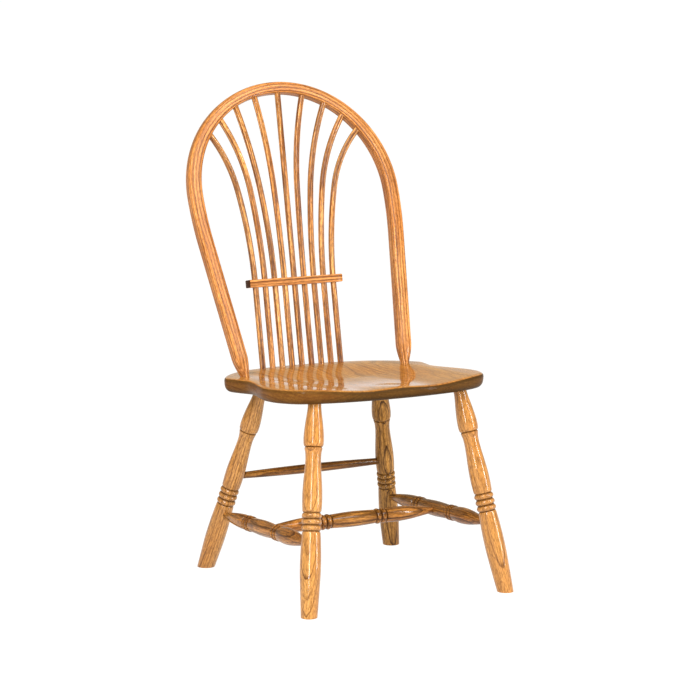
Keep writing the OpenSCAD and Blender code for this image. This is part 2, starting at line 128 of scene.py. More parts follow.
def distance(a: Array, b: Array) -> float:
    """Returns the distance between two points."""
    return float(np.linalg.norm(b - a))


def arc_to(across: float, high: float, heading: float) -> Pair:
    """Works out an arc that sets off at a heading from upright.

    Args:
        across: How far aside it ends.
        high: How far up it ends.
        heading: Angle at which it starts.

    Returns:
        Its turn and its radius.
    """
    along = across * math.sin(heading) + high * math.cos(heading)
    aside = across * math.cos(heading) - high * math.sin(heading)
    return 2 * math.atan(aside / along), (along * along + aside * aside) / (2 * aside)


def wheel_points(sides: int, offset: float = 0.0) -> Array:
    """Returns points round a circle of radius 1, turned by a share of their spacing."""
    angle = 2 * np.pi * (np.arange(sides) + offset) / sides
    return np.column_stack([np.cos(angle), np.sin(angle)])


@dataclass(frozen=True)
class Layout:
    """Sizes that several sub-assemblies share, in millimetres."""

    seat_h: float = 445.0
    seat_w: float = 512.0
    seat_d: float = 490.0
    seat_t: float = 31.5
    seat_rise: float = 62.0
    seat_front_y: float = -223.0
    bow_setback: float = 349.0
    spindle_margin: float = 25.0
    front_span: float = 476.0
    rear_span: float = 473.0
    foot_depth: float = 503.0
    front_lean: Pair = (145.0, 222.0)
    rear_lean: Pair = (219.0, 243.0)
    y_shift: float = -57.5916
    inset: float = 0.15
    spindle_pitch: float = 24.5
    leg_d: float = 44.0
    bead_pitch: float = 13.0

    @property
    def seat_rear_y(self) -> float:
        """Depth of the seat's rear edge."""
        return self.seat_front_y + self.seat_d

    @property
    def bow_y(self) -> float:
        """Depth of the bow's feet."""
        return self.seat_front_y + self.bow_setback

    def rim_z(self, y: Array | float) -> Array | float:
        """Returns the height of the seat's rim at a depth y."""
        return self.seat_h - self.seat_rise / 1000 * (y - self.bow_y)

    def under_z(self, y: Array | float) -> Array | float:
        """Returns the height of the seat's underside at a depth y."""
        return self.rim_z(y) - self.seat_t

    def leg_foot(self, row: Row, side: Side) -> Array:
        """Returns the point where a leg's axis meets the floor."""
        span = self.front_span if row is Row.FRONT else self.rear_span
        return np.array([side.value * span / 2, row.value * self.foot_depth / 2, 0.0])

    def leg_dir(self, row: Row, side: Side) -> Array:
        """Returns the direction of a leg's axis, upward."""
        lean = self.front_lean if row is Row.FRONT else self.rear_lean
        return unit(np.array([-side.value * lean[0] / 1000, -row.value * lean[1] / 1000, 1.0]))

    def leg_at(self, row: Row, side: Side, reach: float) -> Array:
        """Returns the point on a leg's axis at a distance from the floor."""
        return self.leg_foot(row, side) + self.leg_dir(row, side) * reach

    def leg_reach(self, row: Row, side: Side) -> float:
        """Returns the distance along a leg from the floor to the seat's underside."""
        foot, d = self.leg_foot(row, side), self.leg_dir(row, side)
        return float(self.under_z(foot[1]) / (d[2] + self.seat_rise / 1000 * d[1]))

    def placed(self, points: Array) -> Array:
        """Returns points in the chair's own frame, in metres."""
        return (points + np.array([0.0, self.y_shift, 0.0])) * MM


@dataclass(frozen=True)
class Pattern:
    """Noise in the wood: its fineness each way, its detail, and the levels between which its mask rises."""

    fineness: Place
    detail: int
    start: float = 0.0
    full: float = 1.0


DRIFT = Pattern((16, 16, 4), 2)
TREMBLE = Pattern((150, 150, 30), 4)
PATCHES = Pattern((14, 14, 5), 1, 0.35, 0.65)
STREAKS = Pattern((210, 210, 5), 2, 0.47, 0.60)
THREADS = Pattern((560, 560, 16), 2, 0.46, 0.58)
PORES = Pattern((1300, 1300, 75), 1, 0.54, 0.66)
FLECKS = Pattern((480, 480, 110), 1, 0.48, 0.64)
BLOTCHES = Pattern((45, 45, 11), 2, 0.5, 0.68)


@dataclass(frozen=True)
class OakFinish:
    """One colouring of lacquered oak. Colours are linear, lengths are in millimetres."""

    name: str
    slot: str
    pale: Colour
    warm: Colour
    dark: Colour
    # Colours that staining and painted shade darken towards: the deep one for end grain, grooves and the
    # seat's sides and underside, the shallow one for slight shares such as the painted shade on the legs and
    # stretchers.
    deep_stain_and_shade_colour: Colour = (0.036, 0.010, 0.002)
    shallow_stain_and_shade_colour: Colour = (0.036, 0.010, 0.002)
    ring_pitch: float = 5.6
    ring_depth: float = 0.95
    ring_drift: float = 1.6
    ring_width: float = 0.5
    ring_floor: float = 0.15
    ring_fall: Pairs = ((0.0, 0.9), (0.1, 1.0), (0.28, 0.85), (0.5, 0.35), (0.85, 0.0))
    ring_rise: Pairs = ((0.94, 0.04), (1.0, 0.9))
    streak_depth: float = 0.30
    thread_depth: float = 0.40
    blotch_depth: float = 0.30
    fleck_depth: float = 0.35
    pore_depth: float = 0.8
    sheen: float = 0.12
    coat: float = 0.5
    gloss: float = 0.10
    tremble: float = 0.9
    pore_tone: float = 0.35
    pore_even: float = 0.4
    pore_bump: Pair = (0.12, 0.0004)
    matt: float = 0.36
    pore_matt: float = 0.18
    wood_ior: float = 1.45
    coat_ior: float = 1.5
    sheen_tint: Colour = (1.0, 0.80, 0.55)
    # Shares of staining and painted shade over which the shallow colour gives way to the deep one.
    deep_stain_and_shade_ramp: Pairs = ((0.65, 0.0), (0.85, 1.0))
    shine_left: Pairs = ((0.0, 1.0), (0.5, 0.9), (0.72, 0.12), (0.9, 0.03))

    def ring_line(self, graph: "NodeGraph", bent: Socket) -> Socket:
        """Draws the dark line of each growth ring.

        Args:
            graph: Graph that the nodes go into.
            bent: Grain coordinates with their waver.

        Returns:
            A mask that is strongest just inside each ring's border.
        """
        phase, vigour = graph.rings(bent, self.ring_pitch * MM)
        fall = [(place * self.ring_width, tone) for place, tone in self.ring_fall]
        line = graph.ramp(phase, [*fall, *self.ring_rise])
        strength = graph.maths("MULTIPLY_ADD", graph.maths("MULTIPLY", vigour, vigour),
                               1 - self.ring_floor, self.ring_floor)
        return graph.maths("MULTIPLY", line, strength)

    def material(self) -> bpy.types.Material:
        """Builds the finish as a node material that follows the grain of each piece.

        Returns:
            The material, made once and then reused.
        """
        made = bpy.data.materials.get(self.name)
        if made:
            return made
        mat = bpy.data.materials.new(self.name)
        mat.use_nodes = True
        mat.node_tree.nodes.clear()
        graph = NodeGraph(mat.node_tree)

        grain = graph.attribute("grain")
        bent = graph.shaken(grain, grain, DRIFT, self.ring_drift * MM)
        bent = graph.shaken(bent, grain, TREMBLE, self.tremble * MM)
        ring_mask = self.ring_line(graph, bent)
        clear = graph.kept(ring_mask, self.ring_depth)
        layers = ((bent, STREAKS, self.streak_depth), (bent, THREADS, self.thread_depth),
                  (grain, FLECKS, self.fleck_depth), (grain, BLOTCHES, self.blotch_depth))
        for vector, pattern, depth in layers:
            clear = graph.maths("MULTIPLY", clear, graph.kept(graph.mask(vector, pattern), depth))
        ground = graph.mix(graph.mask(grain, PATCHES), self.pale, self.warm)
        toned = graph.mix(clear, self.dark, ground)
        pores = graph.mask(grain, PORES)
        in_rings = graph.maths("MULTIPLY_ADD", ring_mask, 1 - self.pore_even, self.pore_even)
        pore_share = graph.maths("MULTIPLY", graph.maths("MULTIPLY", pores, in_rings), self.pore_depth)
        toned = graph.mix(pore_share, toned, tuple(c * self.pore_tone for c in self.dark))

        # Staining and painted shade: real staining of end grain and grooves, and painted shade on the legs,
        # stretchers, groove hollows and the seat's sides and underside.
        stain_and_shade = graph.attribute("stain_and_shade", "Fac")
        deep_stain_and_shade_colour = graph.mix(graph.ramp(stain_and_shade, self.deep_stain_and_shade_ramp), self.shallow_stain_and_shade_colour, self.deep_stain_and_shade_colour)
        toned = graph.mix(stain_and_shade, toned, deep_stain_and_shade_colour)
        coat = graph.maths("MULTIPLY", graph.ramp(stain_and_shade, self.shine_left), self.coat)
        strength, depth = self.pore_bump
        bump = graph.node("Bump", {"Strength": strength, "Distance": depth, "Height": pore_share},
                          invert=True)
        rough = graph.maths("MULTIPLY_ADD", pores, self.pore_matt, self.matt)
        bsdf = graph.node("BsdfPrincipled", {
            "Base Color": toned, "Roughness": rough, "IOR": self.wood_ior, "Specular IOR Level": self.sheen,
            "Specular Tint": self.sheen_tint, "Coat Weight": coat, "Coat Roughness": self.gloss,
            "Coat IOR": self.coat_ior, "Normal": bump.outputs[0]})
        graph.node("OutputMaterial", {"Surface": bsdf.outputs[0]})
        return mat


@dataclass
class NodeGraph:
    """Short ways to add the nodes that the oak finishes and the surroundings use."""

    tree: bpy.types.NodeTree

    def node(self, kind: str, inputs: dict[int | str, object], **settings: object) -> bpy.types.Node:
        """Adds a node.

        Args:
            kind: Kind of node.
            inputs: A value or another node's socket for each input that is set, by place or name.
            settings: Values of the node's own settings.

        Returns:
            The new node.
        """
        node = self.tree.nodes.new("ShaderNode" + kind)
        for name, value in settings.items():
            setattr(node, name, value)
        for place, value in inputs.items():
            socket = node.inputs[place]
            if isinstance(value, Socket):
                self.tree.links.new(value, socket)
            else:
                socket.default_value = (*value, 1.0) if socket.type == "RGBA" else value
        return node

    def attribute(self, name: str, output: str = "Vector") -> Socket:
        """Returns a mesh attribute, as a vector or as the number Fac."""
        return self.node("Attribute", {}, attribute_name=name).outputs[output]

    def maths(self, operation: str, *values: object) -> Socket:
        """Returns the result of one sum on numbers."""
        return self.node("Math", dict(enumerate(values)), operation=operation).outputs[0]

    def vectors(self, operation: str, *values: object) -> Socket:
        """Returns the vector that one sum on vectors gives."""
        return self.node("VectorMath", dict(enumerate(values)), operation=operation).outputs["Vector"]

    def noise(self, vector: Socket, pattern: Pattern) -> bpy.types.Node:
        """Returns the noise node of a pattern."""
        fine = self.vectors("MULTIPLY", vector, pattern.fineness)
        return self.node("TexNoise", {"Vector": fine, "Scale": 1.0, "Detail": pattern.detail})

    def mask(self, vector: Socket, pattern: Pattern) -> Socket:
        """Returns the mask of a pattern."""
        stops = ((pattern.start, 0.0), (pattern.full, 1.0))
        return self.ramp(self.noise(vector, pattern).outputs[0], stops)

    def kept(self, mask: Socket, depth: float) -> Socket:
        """Returns the share that a mask of the given depth leaves."""
        return self.maths("MULTIPLY_ADD", mask, -depth, 1.0)

    def shaken(self, vector: Socket, grain: Socket, pattern: Pattern, reach: float) -> Socket:
        """Moves a vector to and fro by a noise pattern.

        Args:
            vector: Vector that is moved.
            grain: Grain coordinates, where the pattern is read.
            pattern: The noise pattern.
            reach: Largest move in metres.

        Returns:
            The moved vector.
        """
        noise = self.noise(grain, pattern).outputs["Color"]
        moved = self.vectors("MULTIPLY_ADD", noise, (2 * reach,) * 3, vector)
        return self.vectors("SUBTRACT", moved, (reach,) * 3)

    def rings(self, vector: Socket, pitch: float) -> tuple[Socket, Socket]:
        """Growth rings that stand round the grain's own axis.

        Args:
            vector: Grain coordinates, with the axis of the tree along z.
            pitch: Distance from ring to ring in metres.

        Returns:
            A number that climbs from 0 to 1 in each ring, and a number from 0 to 1 for each ring.
        """
        away = self.node("VectorMath", {0: self.vectors("MULTIPLY", vector, (1, 1, 0))}, operation="LENGTH")
        count = self.maths("MULTIPLY", away.outputs["Value"], 1 / pitch)
        lot = self.node("TexWhiteNoise", {"W": self.maths("FLOOR", count)}, noise_dimensions="1D")
        return self.maths("FRACT", count), lot.outputs["Value"]

    def ramp(self, value: Socket, stops: Sequence[tuple[float, float | Colour]]) -> Socket:
        """Reads a tone or a colour off a ramp.

        Args:
            value: Where the ramp is read.
            stops: Pairs of place and tone, or of place and colour.

        Returns:
            The colour at that place.
        """
        node = self.node("ValToRGB", {0: value})
        elements = node.color_ramp.elements
        while len(elements) < len(stops):
            elements.new(0.5)
        for element, (place, tone) in zip(elements, stops):
            element.position = place
            element.color = (*np.broadcast_to(tone, 3), 1.0)
        return node.outputs[0]

    def mix(self, share: Socket, low: Socket | Colour, high: Socket | Colour) -> Socket:
        """Returns the colour a share of the way between two colours."""
        return self.node("Mix", {0: share, 6: low, 7: high}, data_type="RGBA").outputs[2]


SEAT_OAK = OakFinish(
    "seat_oak_lacquer", "seat_oak", (0.64, 0.285, 0.050), (0.54, 0.215, 0.032), (0.17, 0.050, 0.009),
    deep_stain_and_shade_colour=(0.040, 0.020, 0.006), shallow_stain_and_shade_colour=(0.062, 0.016, 0.003), ring_pitch=7.0, ring_depth=0.85,
    ring_drift=6.0, fleck_depth=0.2, coat=0.75, sheen=0.04, gloss=0.05)
BACK_OAK = OakFinish(
    "back_oak_lacquer", "back_oak", (0.83, 0.375, 0.114), (0.70, 0.27, 0.062), (0.11, 0.025, 0.004),
    ring_pitch=4.5, ring_drift=3.0, ring_width=0.95, ring_floor=0.7, streak_depth=0.35, thread_depth=0.4,
    fleck_depth=0.35, blotch_depth=0.25, coat=0.22, gloss=0.15)
SPINDLE_OAK = OakFinish(
    "spindle_oak_lacquer", "back_oak", (0.95, 0.470, 0.142), (0.82, 0.345, 0.084), (0.10, 0.022, 0.004),
    ring_pitch=4.5, ring_drift=3.0, ring_width=0.8, ring_floor=0.75, streak_depth=0.6, thread_depth=0.6,
    blotch_depth=0.4, fleck_depth=0.55, pore_depth=0.95, coat=0.55)
LEG_OAK = OakFinish(
    "leg_oak_lacquer", "leg_oak", (0.71, 0.350, 0.100), (0.60, 0.255, 0.056), (0.10, 0.028, 0.005),
    ring_width=0.3, streak_depth=0.2, thread_depth=0.3, blotch_depth=0.15, fleck_depth=0.42, coat=0.7)
# Rear right leg: browner timber, also made darker as painted shade of the seat's shadow.
BROWN_AND_SHADED_LEG_OAK = OakFinish(
    "brown_and_shaded_leg_oak_lacquer", "leg_oak", (0.66, 0.325, 0.080), (0.55, 0.250, 0.050), (0.035, 0.010, 0.002),
    ring_width=0.28, ring_floor=0.4, streak_depth=0.45, fleck_depth=0.4, coat=0.25)
STRETCHER_OAK = OakFinish(
    "stretcher_oak_lacquer", "stretcher_oak", (0.68, 0.305, 0.064), (0.50, 0.185, 0.032),
    (0.04, 0.010, 0.002), ring_pitch=4.5, ring_width=0.8, ring_floor=0.3, streak_depth=0.6,
    blotch_depth=0.5, coat=0.45)


@dataclass
class Skin:
    """A mesh in the making: points, faces, grain coordinates, and the staining and painted shade of each
    point.
    """

    points: Array
    faces: list[tuple[int, ...]]
    grain: Array
    stain_and_shade: Array

    def darken(self, tone: float | Array) -> None:
        """Paints shade: makes the piece darker by a share, or by a share for each point."""
        self.stain_and_shade = 1 - (1 - self.stain_and_shade) * (1 - tone)


def tube_skin(rings: Array, grain: Array, stain_and_shade: Array) -> Skin:
    """Skin round a row of rings that all have the same number of points, closed at both ends.

    Args:
        rings: Points of the rings, ring by ring.
        grain: Grain coordinates of the same points.
        stain_and_shade: Staining and painted shade of the same points.

    Returns:
        The closed skin.
    """
    n, m = rings.shape[:2]
    faces: list[tuple[int, ...]] = []
    for i in range(n - 1):
        for k in range(m):
            a, b = i * m + k, i * m + (k + 1) % m
            faces.append((a, b, b + m, a + m))
    faces.append(tuple(range(m - 1, -1, -1)))
    faces.append(tuple((n - 1) * m + k for k in range(m)))
    return Skin(rings.reshape(-1, 3), faces, grain.reshape(-1, 3), stain_and_shade.reshape(-1))


def cross_frame(direction: Array) -> tuple[Array, Array]:
    """Returns two directions square to an axis and to each other, the first of them level."""
    first = unit(np.cross(direction, [0.0, 0.0, 1.0]))
    return first, np.cross(direction, first)


@dataclass
class Sweep:
    """A skin in the making that follows a line, section by section."""

    rings: list[Array] = field(default_factory=list)
    grain: list[Array] = field(default_factory=list)

    def add(self, centre: Array, axes: tuple[Array, Array], section: Array, pith: Place) -> None:
        """Adds a flat section.

        Args:
            centre: Where the line runs through the section.
            axes: The section's two directions.
            section: Rows of distance along the first and along the second direction.
            pith: Grain coordinates of the centre.
        """
        self.rings.append(centre + section[:, :1] * axes[0] + section[:, 1:] * axes[1])
        self.grain.append(np.column_stack([section + pith[:2], np.full(len(section), pith[2])]))

    def skin(self, stain_and_shade: float | Array = 0.0) -> Skin:
        """Returns the closed skin, with one share of staining and painted shade, or with a row of them for
        each section.
        """
        stack = np.array(self.rings)
        return tube_skin(stack, np.array(self.grain), np.full(stack.shape[:2], stain_and_shade))


def lathe_skin(start: Array, direction: Array, profile: Array, pith: tuple[float, ...],
               sides: int = 72) -> Skin:
    """Skin of a turned piece.

    Args:
        start: Point of the axis from which the profile is measured.
        direction: Unit vector along the axis.
        profile: Rows of distance along the axis, radius, and staining with painted shade.
        pith: Place of the axis beside the tree's middle, its lean both ways, and a lengthwise shift.
        sides: Points round each ring.

    Returns:
        The closed skin.
    """
    axes, wheel, sweep = cross_frame(direction), wheel_points(sides), Sweep()
    for s, radius, _ in profile:
        place = (pith[0] + pith[2] * s, pith[1] + pith[3] * s, pith[4] + s)
        sweep.add(start + s * direction, axes, radius * wheel, place)
    return sweep.skin(profile[:, 2:])


def add_object(name: str, data: bpy.types.ID) -> bpy.types.Object:
    """Puts an object into the scene.

    Args:
        name: Name of the object.
        data: Its mesh, lamp or camera.

    Returns:
        The object.
    """
    obj = bpy.data.objects.new(name, data)
    bpy.context.scene.collection.objects.link(obj)
    return obj


def cut_mesh(mesh: bpy.types.Mesh, layout: Layout, cuts: Sequence[Cut]) -> None:
    """Cuts a closed mesh along planes and closes it again.

    Args:
        mesh: Mesh that is cut.
        layout: Shared sizes, which place the planes.
        cuts: Planes in millimetres, each a point and the direction of the side that is cut off.
    """
    work = bmesh.new()
    work.from_mesh(mesh)
    for point, off in cuts:
        geom = work.verts[:] + work.edges[:] + work.faces[:]
        place = Vector(layout.placed(np.array(point)))
        result = bmesh.ops.bisect_plane(work, geom=geom, dist=WELD, clear_outer=True,
                                        plane_co=place, plane_no=Vector(off))
        edges = [e for e in result["geom_cut"] if isinstance(e, bmesh.types.BMEdge)]
        bmesh.ops.edgenet_fill(work, edges=edges)
    bmesh.ops.recalc_face_normals(work, faces=work.faces[:])
    work.to_mesh(mesh)
    work.free()


def add_piece(node: str, skin: Skin, layout: Layout, finish: OakFinish, cuts: tuple[Cut, ...] = (),
              sharp: float = 35.0) -> None:
    """Makes a piece of the chair from its skin and puts it in place of its solid.

    Args:
        node: Solid that it stands for.
        skin: Points, faces, grain, and staining with painted shade, in millimetres.
        layout: Shared sizes, which place the skin.
        finish: Finish of the piece.
        cuts: Planes in millimetres, each a point and the direction of the side that is cut off.
        sharp: Angle in degrees over which an edge stays sharp.
    """
    name = "oak_" + node
    mesh = bpy.data.meshes.new(name)
    mesh.from_pydata(layout.placed(skin.points).tolist(), [], skin.faces)
    grain = mesh.attributes.new("grain", "FLOAT_VECTOR", "POINT")
    grain.data.foreach_set("vector", (skin.grain * MM).astype(np.float32).ravel())
    # Each point's share of staining and painted shade, which the finishes darken by.
    stain_and_shade = mesh.attributes.new("stain_and_shade", "FLOAT", "POINT")
    stain_and_shade.data.foreach_set("value", skin.stain_and_shade.astype(np.float32).ravel())
    if cuts:
        cut_mesh(mesh, layout, cuts)
    mesh.polygons.foreach_set("use_smooth", [True] * len(mesh.polygons))
    mesh.set_sharp_from_angle(angle=math.radians(sharp))
    mesh.update()
    mesh.materials.append(finish.material())
    obj = add_object(name, mesh)
    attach(obj, BODY)
    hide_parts(node)
    log.info("%s: %d points for %s", name, len(mesh.vertices), node)


@dataclass
class Seat:
    """Saddled seat glued up from six staves."""

    layout: Layout
    hollow_depth: float = 13.0
    ridge_h: float = 3.0
    hollow_full: float = 175.0
    front_share: float = 0.62
    ridge_half: float = 38.0
    ridge_len: float = 150.0
    outline_steps: int = 8
    half_outline: Pairs = (
        (0, 0), (0.31, 0.014), (0.59, 0.055), (0.807, 0.144), (0.947, 0.26), (0.943, 0.33),
        (0.899, 0.43), (0.923, 0.52), (0.968, 0.61), (1, 0.703), (0.976, 0.80), (0.864, 0.895),
        (0.608, 0.958), (0.311, 0.99), (0, 1))
    edge_drops: Pairs = ((10, 0), (5.5, 0.4), (2.3, 1.7), (0.6, 4.2), (0, 8))
    edge_rises: Pairs = ((1, 13.5), (4, 6.5), (9, 2), (16, 0))
    glue_lines: tuple[float, ...] = (-7.25, -3.5, 0.5, 4.5, 7.25)
    middle_share: float = 0.48
    middle_gap: float = 0.02
    top_steps: int = 40
    edge_steps: int = 5
    least_step: float = 0.05
    under_shares: tuple[float, ...] = (0.7, 0.4, 0.1)
    hollow_band: Pair = (0.276, 0.81)
    flat_behind: float = 22.0
    front_fall: float = 230.0
    # Staining and painted shade in the edge, by ring from the rim down: partly a darker staining of the
    # edge, partly painted shade over the side; the underside past the last ring keeps the last share as
    # painted shade.
    edge_stain_and_shade: Pairs = ((7, 0), (11, 0.95), (17, 0.95), (21, 0.84), (26, 0.87), (31, 0.96))
    # Painted light: the edge is painted a little lighter towards the front left, as if lit from that side.
    painted_light_share: float = 0.14
    painted_light_band: Pair = (120.0, 250.0)
    painted_light_slant: float = 0.2
    half_limit: float = 260.0
    stave_shift: float = 531.0
    stave_piths: tuple[Place, ...] = ((-20, -70, 0.02), (35, -95, -0.03), (-10, -60, 0.015),
                                      (25, -110, 0.02), (-30, -80, -0.02), (10, -65, 0.03))

    def hollow(self, x: Array, y: Array) -> Array:
        """Depth of the carved top below the rim.

        Args:
            x: Places from side to side.
            y: Places from front to back.

        Returns:
            The depth at each place.
        """
        lay = self.layout
        half, behind_y, ahead_y = lay.seat_w / 2, lay.seat_rear_y - y, y - lay.seat_front_y
        across = 1 - ease(np.abs(x), *(share * half for share in self.hollow_band))
        flat = lay.spindle_margin + self.flat_behind
        behind = ease(behind_y, flat, flat + self.hollow_full)
        ahead = 1 - (1 - self.front_share) * ease(self.front_fall - ahead_y, 0, self.front_fall)
        ridge = (self.ridge_h * (1 - ease(np.abs(x), 0, self.ridge_half * 2))
                 * ease(self.ridge_len - ahead_y, 0, self.ridge_len))
        return self.hollow_depth * across * behind * ahead - ridge

    def top_z(self, q: Array) -> Array:
        """Returns the height of the carved top at places seen from above."""
        return self.layout.rim_z(q[:, 1]) - self.hollow(q[:, 0], q[:, 1])

    def outline(self) -> Array:
        """Works out the seat's outline seen from above.

        Returns:
            Its points, from the middle of the rear edge round to the same place.
        """
        lay = self.layout
        half = [(p[0] * (lay.seat_w / 2 - lay.inset), lay.seat_rear_y - p[1] * lay.seat_d)
                for p in self.half_outline]
        loop = half + [(-x, y) for x, y in half[-2:0:-1]]
        return smooth_curve(loop, self.outline_steps, closed=True)

    def stain_and_shade(self, stack: Array) -> Array:
        """Works out the staining and painted shade in the edge, with painted light that makes it a little
        lighter at the front left.

        Args:
            stack: Points of the skin, ring by ring.

        Returns:
            The stain of each point.
        """
        level = np.arange(len(stack)) - (self.top_steps - 1)
        depth = np.interp(level, *zip(*self.edge_stain_and_shade))
        # Painted light at the front left.
        painted_light = self.painted_light_share * ease(-stack[:, :, 0] - self.painted_light_slant * stack[:, :, 1], *self.painted_light_band)
        return depth[:, None] * (1 - painted_light)

    def skin(self) -> Skin:
        """Lays rings from the top's middle over the edge to the middle of the underside.

        Returns:
            The whole seat as one closed skin.
        """
        lay = self.layout
        outline = self.outline()
        middle = np.array([0.0, lay.seat_rear_y - self.middle_share * lay.seat_d])
        span = outline - middle
        reach = np.linalg.norm(span, axis=1)[:, None]
        drops = smooth_curve(self.edge_drops, self.edge_steps)
        foot = (0, lay.seat_t - self.edge_drops[-1][1])
        rises = smooth_curve((foot, *self.edge_rises), self.edge_steps)[1:]
        border = middle + span * (1 - drops[0][0] / reach)
        rings = []
        for share in np.linspace(self.middle_gap, 1, self.top_steps)[:-1]:
            q = middle + (border - middle) * share
            rings.append(np.column_stack([q, self.top_z(q)]))
        for inset, drop in drops:
            q = middle + span * (1 - inset / reach)
            rings.append(np.column_stack([q, self.top_z(border) - drop]))
        for inset, rise in rises:
            q = middle + span * (1 - inset / reach)
            z = np.minimum(lay.under_z(q[:, 1]) + rise, rings[-1][:, 2] - self.least_step)
            rings.append(np.column_stack([q, z]))
        last = rings[-1][:, :2]
        for share in self.under_shares:
            q = middle + (last - middle) * share
            rings.append(np.column_stack([q, lay.under_z(q[:, 1])]))
        stack = np.array(rings)[:, ::-1]
        return tube_skin(stack, stack, self.stain_and_shade(stack))

    def build(self) -> None:
        """Makes the six staves, each cut from the whole skin between its glue lines."""
        lay, whole, limit = self.layout, self.skin(), self.half_limit
        x, y, z = whole.points.T
        lines = [-limit, *(g * lay.spindle_pitch for g in self.glue_lines), limit]
        for i, (px, pz, tilt) in enumerate(self.stave_piths):
            low, high = lines[i:i + 2]
            grain = np.column_stack([x - (low + high) / 2 + px, z - lay.seat_h + pz + tilt * y,
                                     y + self.stave_shift * i])
            cuts = [((place, 0, 0), (way, 0, 0)) for place, way in ((low, -1), (high, 1))
                    if abs(place) < limit]
            add_piece("seat_stave_%d" % (i + 1), Skin(whole.points, whole.faces, grain, whole.stain_and_shade), lay,
                      SEAT_OAK, tuple(cuts))


@dataclass
class Bow:
    """Bent bow of the back."""

    layout: Layout
    radius: float = 244.0
    centre: float = 408.0
    lean: float = 21.9
    taper: float = 7.25
    straight: float = 300.0
    width: float = 32.0
    top_width: float = 26.0
    depth: float = 26.5
    foot_d: float = 20.0
    foot_start: float = 2.0
    foot_len: float = 46.0
    squareness: float = 0.58
    tenon: float = 24.0
    sides: int = 48
    foot_zone: float = 60.0
    steps: tuple[int, int, int] = (3, 25, 190)
    pith: Place = (55.0, -60.0, 2000.0)

    def __post_init__(self) -> None:
        """Works out the lengths of the bow's stretches."""
        turn = math.radians(self.taper)
        self.side_r = (self.centre - self.straight) / math.sin(turn)
        self.foot_x = (self.radius - self.side_r * (1 - math.cos(turn))
                       - self.straight * math.tan(turn))
        self.straight_len = self.straight / math.cos(turn)
        self.side_len = self.side_r * turn
        self.length = 2 * (self.straight_len + self.side_len) + math.pi * self.radius

    def point(self, s: float) -> Place:
        """Walks along the bow, from the right foot to the left one.

        Args:
            s: Distance from the right foot.

        Returns:
            The place across, the place up along the lean, and the heading.
        """
        if s > self.length / 2:
            u, w, heading = self.point(self.length - s)
            return -u, w, 2 * math.pi - heading
        turn = math.radians(self.taper)
        if s < self.straight_len:
            return self.foot_x + s * math.sin(turn), s * math.cos(turn), math.pi / 2 - turn
        if s < self.straight_len + self.side_len:
            a = turn * (1 - (s - self.straight_len) / self.side_len)
            return (self.radius - self.side_r * (1 - math.cos(a)),
                    self.centre - self.side_r * math.sin(a), math.pi / 2 - a)
        a = (s - self.straight_len - self.side_len) / self.radius
        return self.radius * math.cos(a), self.centre + self.radius * math.sin(a), math.pi / 2 + a

    def in_plane(self, u: float, w: float) -> Array:
        """Returns the point of the bow's plane at u across and w up along the lean."""
        lay, lean = self.layout, math.radians(self.lean)
        return np.array([u, lay.bow_y + w * math.sin(lean), lay.rim_z(lay.bow_y) + w * math.cos(lean)])

    def build(self) -> None:
        """Makes the bow as one swept skin."""
        lean = math.radians(self.lean)
        out = np.array([0.0, math.cos(lean), -math.sin(lean)])
        wheel = wheel_points(self.sides, 0.5)
        near, far = self.foot_zone, self.length - self.foot_zone
        tenon_steps, foot_steps, arch_steps = self.steps
        stations = (np.linspace(-self.tenon, 0, tenon_steps)[:-1], np.linspace(0, near, foot_steps)[:-1],
                    np.linspace(near, far, arch_steps)[:-1], np.linspace(far, self.length, foot_steps),
                    [self.length + self.tenon])
        sweep = Sweep()
        for s in np.concatenate(stations):
            u, w, heading = self.point(float(s))
            end = min(s, self.length - s)
            swell = np.clip((end - self.foot_start) / (self.foot_len - self.foot_start), 0, 1)
            g = math.sin(math.pi / 2 * float(swell))
            t = float(ease(end, self.straight_len + self.side_len, self.length / 2))
            wide = self.width + (self.top_width - self.width) * t
            size = self.foot_d + (np.array([wide, self.depth]) - self.foot_d) * g
            section = np.sign(wheel) * np.abs(wheel) ** (1 - self.squareness * g)
            side = np.array([math.sin(heading), -math.cos(heading) * math.sin(lean),
                             -math.cos(heading) * math.cos(lean)])
            sweep.add(self.in_plane(u, w), (side, out), (size / 2 - self.layout.inset) * section,
                      (*self.pith[:2], self.pith[2] + s))
        add_piece("bow", sweep.skin(), self.layout, BACK_OAK, sharp=BENT_SHARP)


